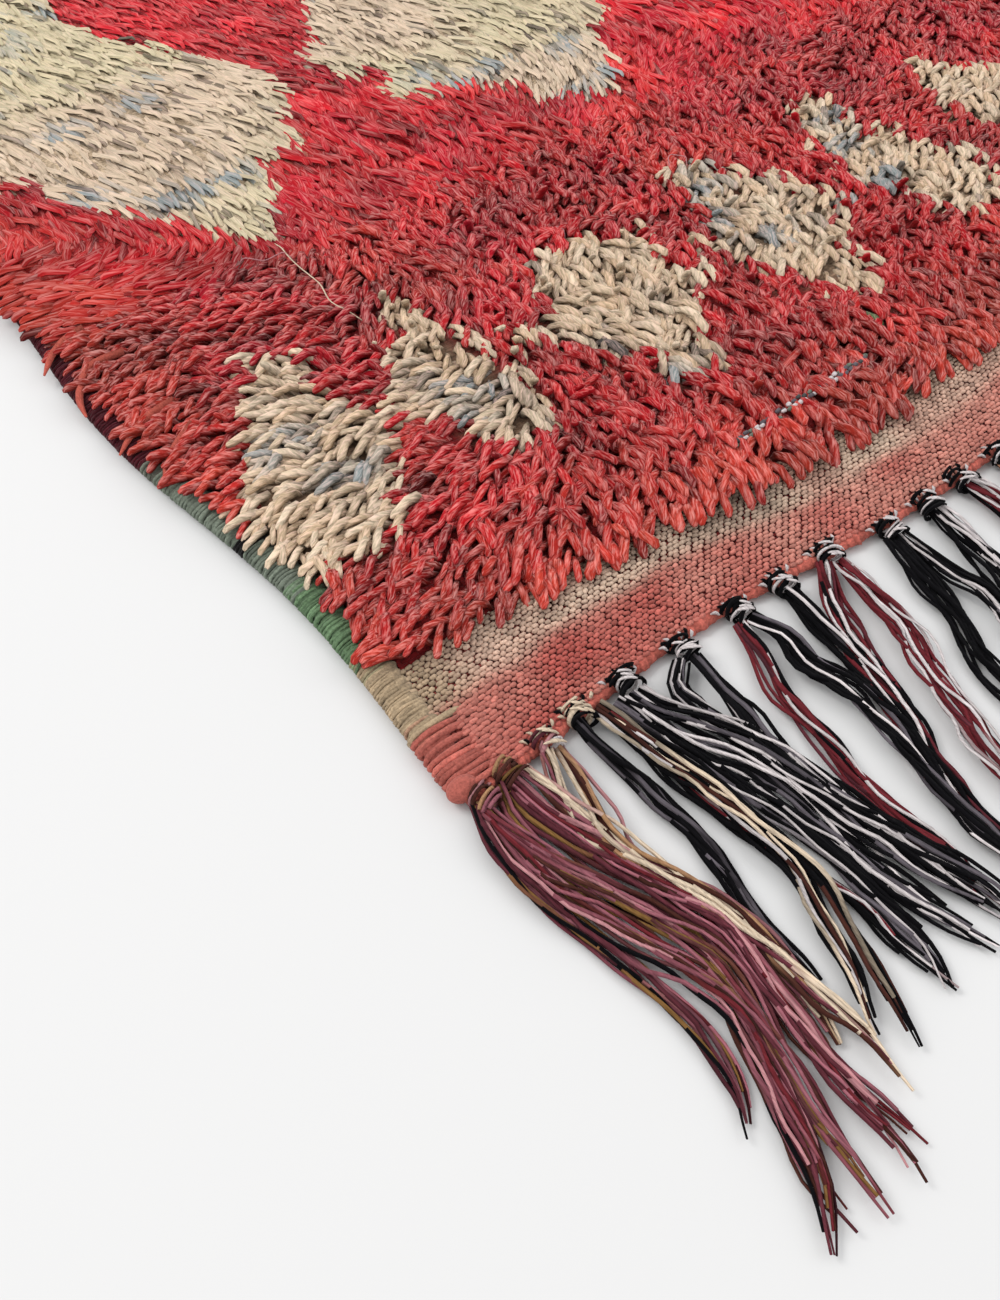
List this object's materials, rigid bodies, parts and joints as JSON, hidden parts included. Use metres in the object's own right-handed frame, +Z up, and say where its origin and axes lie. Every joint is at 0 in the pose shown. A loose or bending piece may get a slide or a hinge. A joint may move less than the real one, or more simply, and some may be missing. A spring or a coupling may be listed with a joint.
{
  "type": "shag rug",
  "caption": "Small hand-knotted wool rug with a shaggy diamond-patterned pile, flat-woven end bands, overcast side edges and a long knotted fringe at one end.",
  "frame": {"origin": "centre of the underside of the woven part, on the floor, without the fringe", "axes": "+Z up out of the pile, +Y along the warps from the knotted fringe to the plain end, +X across from the left selvedge to the right one"},
  "size_m": [0.969, 1.7002, 0.0203],
  "materials": {
    "pile_wool": "long wool pile, matte",
    "selvedge_wool": "overcast wool, matte",
    "fringe_yarn": "loose knotted yarn, matte"
  },
  "bodies": {
    "root": {"woven_rug": "pile_wool", "selvedge_left": "selvedge_wool", "selvedge_right": "selvedge_wool", "fringe": "fringe_yarn"}
  },
  "joints": []
}
